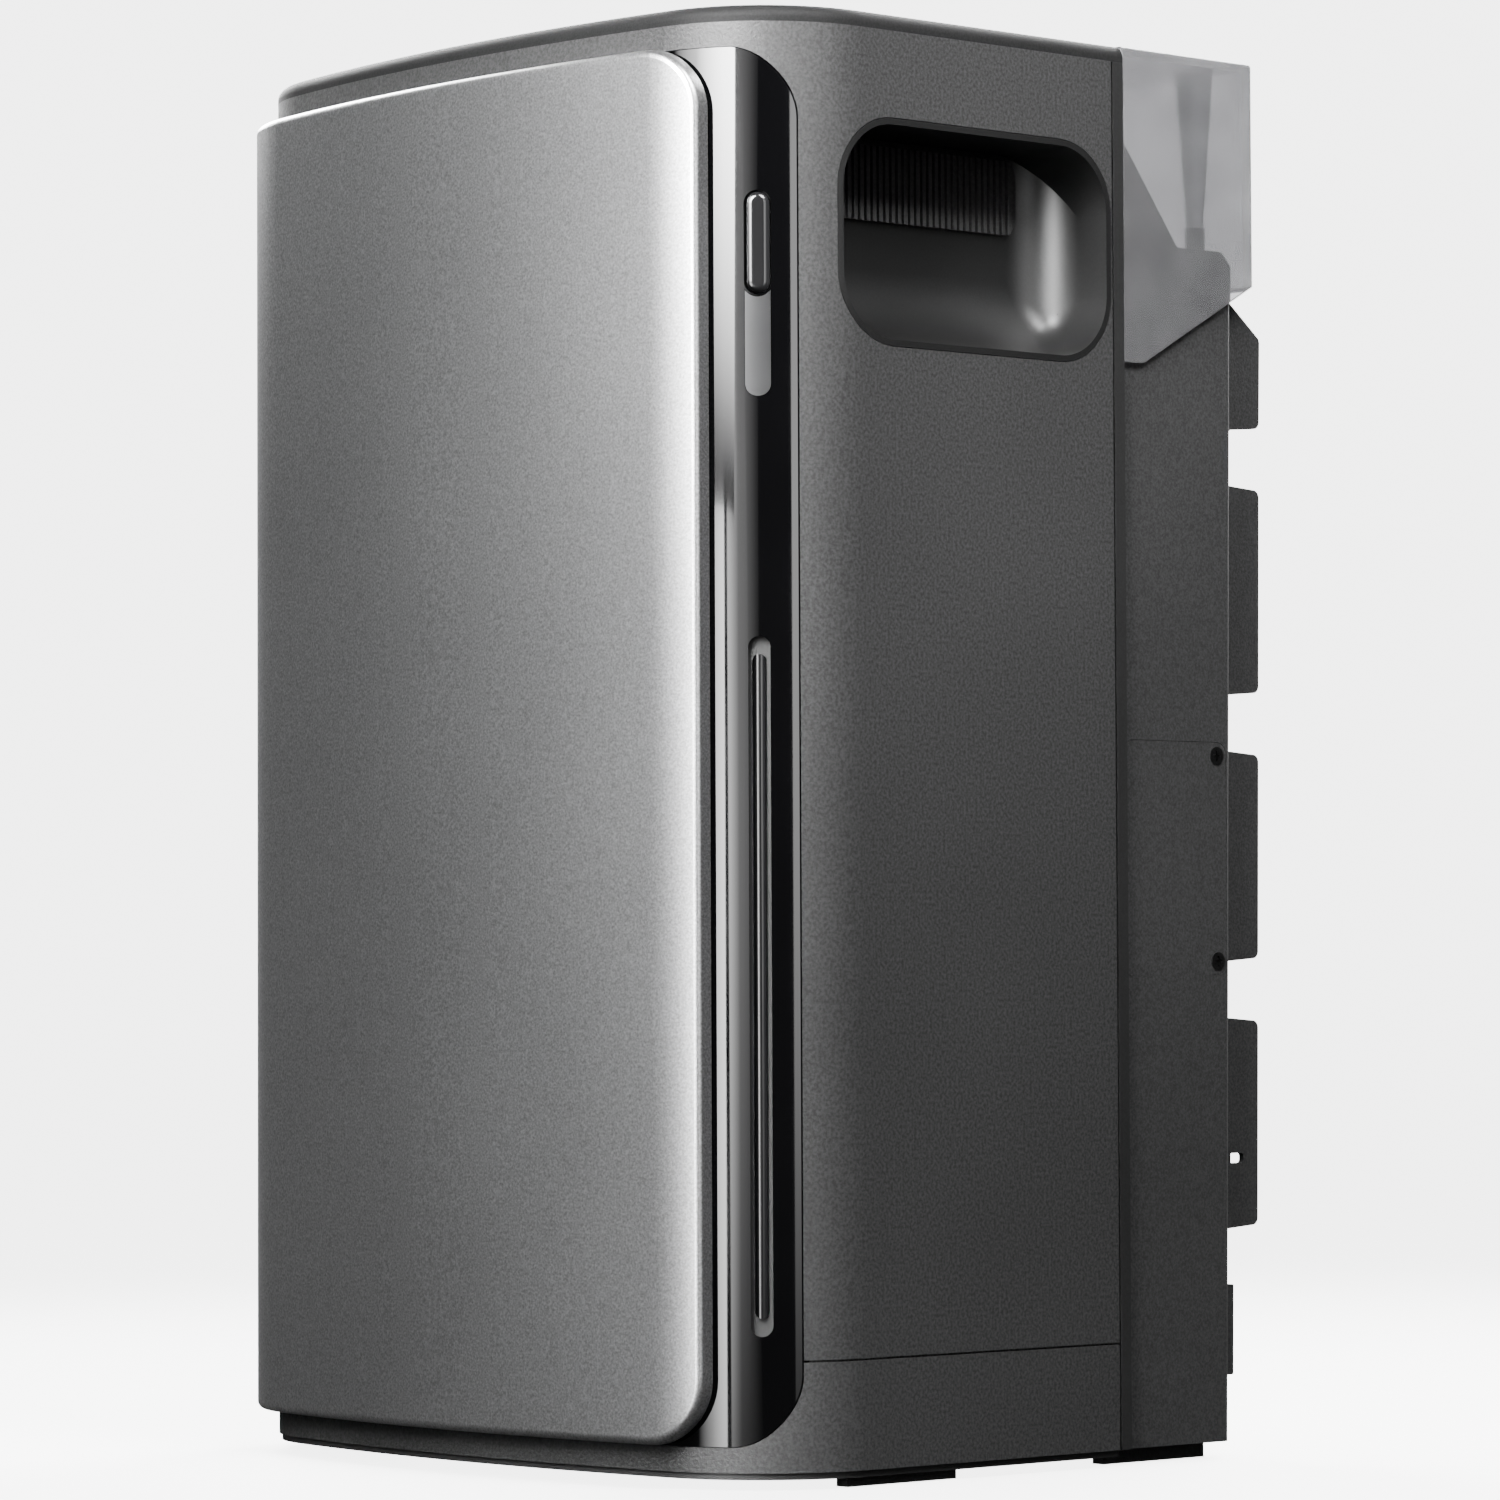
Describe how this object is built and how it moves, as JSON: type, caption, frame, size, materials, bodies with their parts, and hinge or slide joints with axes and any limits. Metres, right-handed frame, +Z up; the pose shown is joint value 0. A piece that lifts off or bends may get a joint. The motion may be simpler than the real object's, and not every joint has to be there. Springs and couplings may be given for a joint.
{
  "type": "home battery storage unit",
  "caption": "Floor-standing plug-in battery storage unit: bowed metal front panel, gloss corner fascia with button and light bar, side handles, finned rear and lift-off connector cover.",
  "frame": {"origin": "on the floor, at the middle of the overall footprint", "axes": "+X to the object's right seen from the front, +Y to the back, +Z up"},
  "size_m": [0.27, 0.2483, 0.458],
  "materials": {
    "silver_panel": "fine bead-blasted and clear anodised",
    "dark_casing": "fine moulded texture",
    "lid_plastic": "smooth satin",
    "black_plastic": "fine matte",
    "gloss_black": "piano black",
    "diffuser": "milky light guide",
    "smoke_cover": "smoky translucent polycarbonate",
    "cast_housing": "powder coated die casting",
    "soft_rubber": "matte elastomer",
    "steel": "zinc plated",
    "cell_wrap": "blue insulating film on aluminium cans",
    "copper_bar": "nickel flashed copper",
    "board_green": "solder mask",
    "sheet_aluminium": "mill finish",
    "ferrite": "sintered",
    "copper_winding": "enamelled wire",
    "pale_plastic": "light grey"
  },
  "bodies": {
    "unit": {"base_plate": "black_plastic", "battery_board": "board_green", "battery_cells": "cell_wrap", "battery_tray": "sheet_aluminium", "board_standoffs": "steel", "bus_capacitors": "black_plastic", "button_switch": "black_plastic", "button_tag": "pale_plastic", "cell_busbars": "copper_bar", "compression_bands": "steel", "cooling_fins": "cast_housing", "end_plates": "sheet_aluminium", "feet": "soft_rubber", "filter_chokes": "copper_winding", "frame_screws": "steel", "front_casing": "dark_casing", "front_fascia": "gloss_black", "front_panel": "silver_panel", "grid_inlet": "black_plastic", "grip_pad_left": "soft_rubber", "grip_pad_right": "soft_rubber", "handle_cup_left": "dark_casing", "handle_cup_right": "dark_casing", "housing_gasket": "soft_rubber", "inlet_pins": "copper_bar", "inverter_board": "board_green", "inverter_standoffs": "steel", "light_board": "board_green", "light_carrier": "black_plastic", "light_guide": "diffuser", "lower_cover_screws": "steel", "lower_rear_cover": "black_plastic", "lower_skirt": "dark_casing", "main_fuse": "pale_plastic", "mid_frame": "black_plastic", "outlet_left": "black_plastic", "outlet_right": "black_plastic", "panel_carrier": "black_plastic", "panel_clips": "black_plastic", "peg_grommets": "soft_rubber", "power_modules": "black_plastic", "power_rails": "copper_bar", "pressure_vent": "black_plastic", "radio_board": "board_green", "rear_housing": "cast_housing", "service_cover": "black_plastic", "service_cover_gasket": "soft_rubber", "service_cover_screws": "steel", "status_leds": "diffuser", "terminal_plate": "black_plastic", "terminal_screws": "steel", "thermal_pad": "soft_rubber", "tier_divider": "pale_plastic", "top_lid": "lid_plastic", "transformer_core": "ferrite", "transformer_winding": "copper_winding"},
    "button": {"power_button": "black_plastic", "button_springs": "steel"},
    "cover": {"connector_cover": "smoke_cover", "cover_pegs": "black_plastic"}
  },
  "joints": [
    {"name": "power_button_press", "type": "slide", "parent": "unit", "child": "button", "axis": [-0.7314, 0.682, 0], "range_m": [0, 0.001], "stiffness_N_per_m": 400, "springref_m": -0.0005},
    {"name": "connector_cover_lift", "type": "slide", "parent": "unit", "child": "cover", "axis": [0, 0, 1], "range_m": [0, 0.11]}
  ]
}
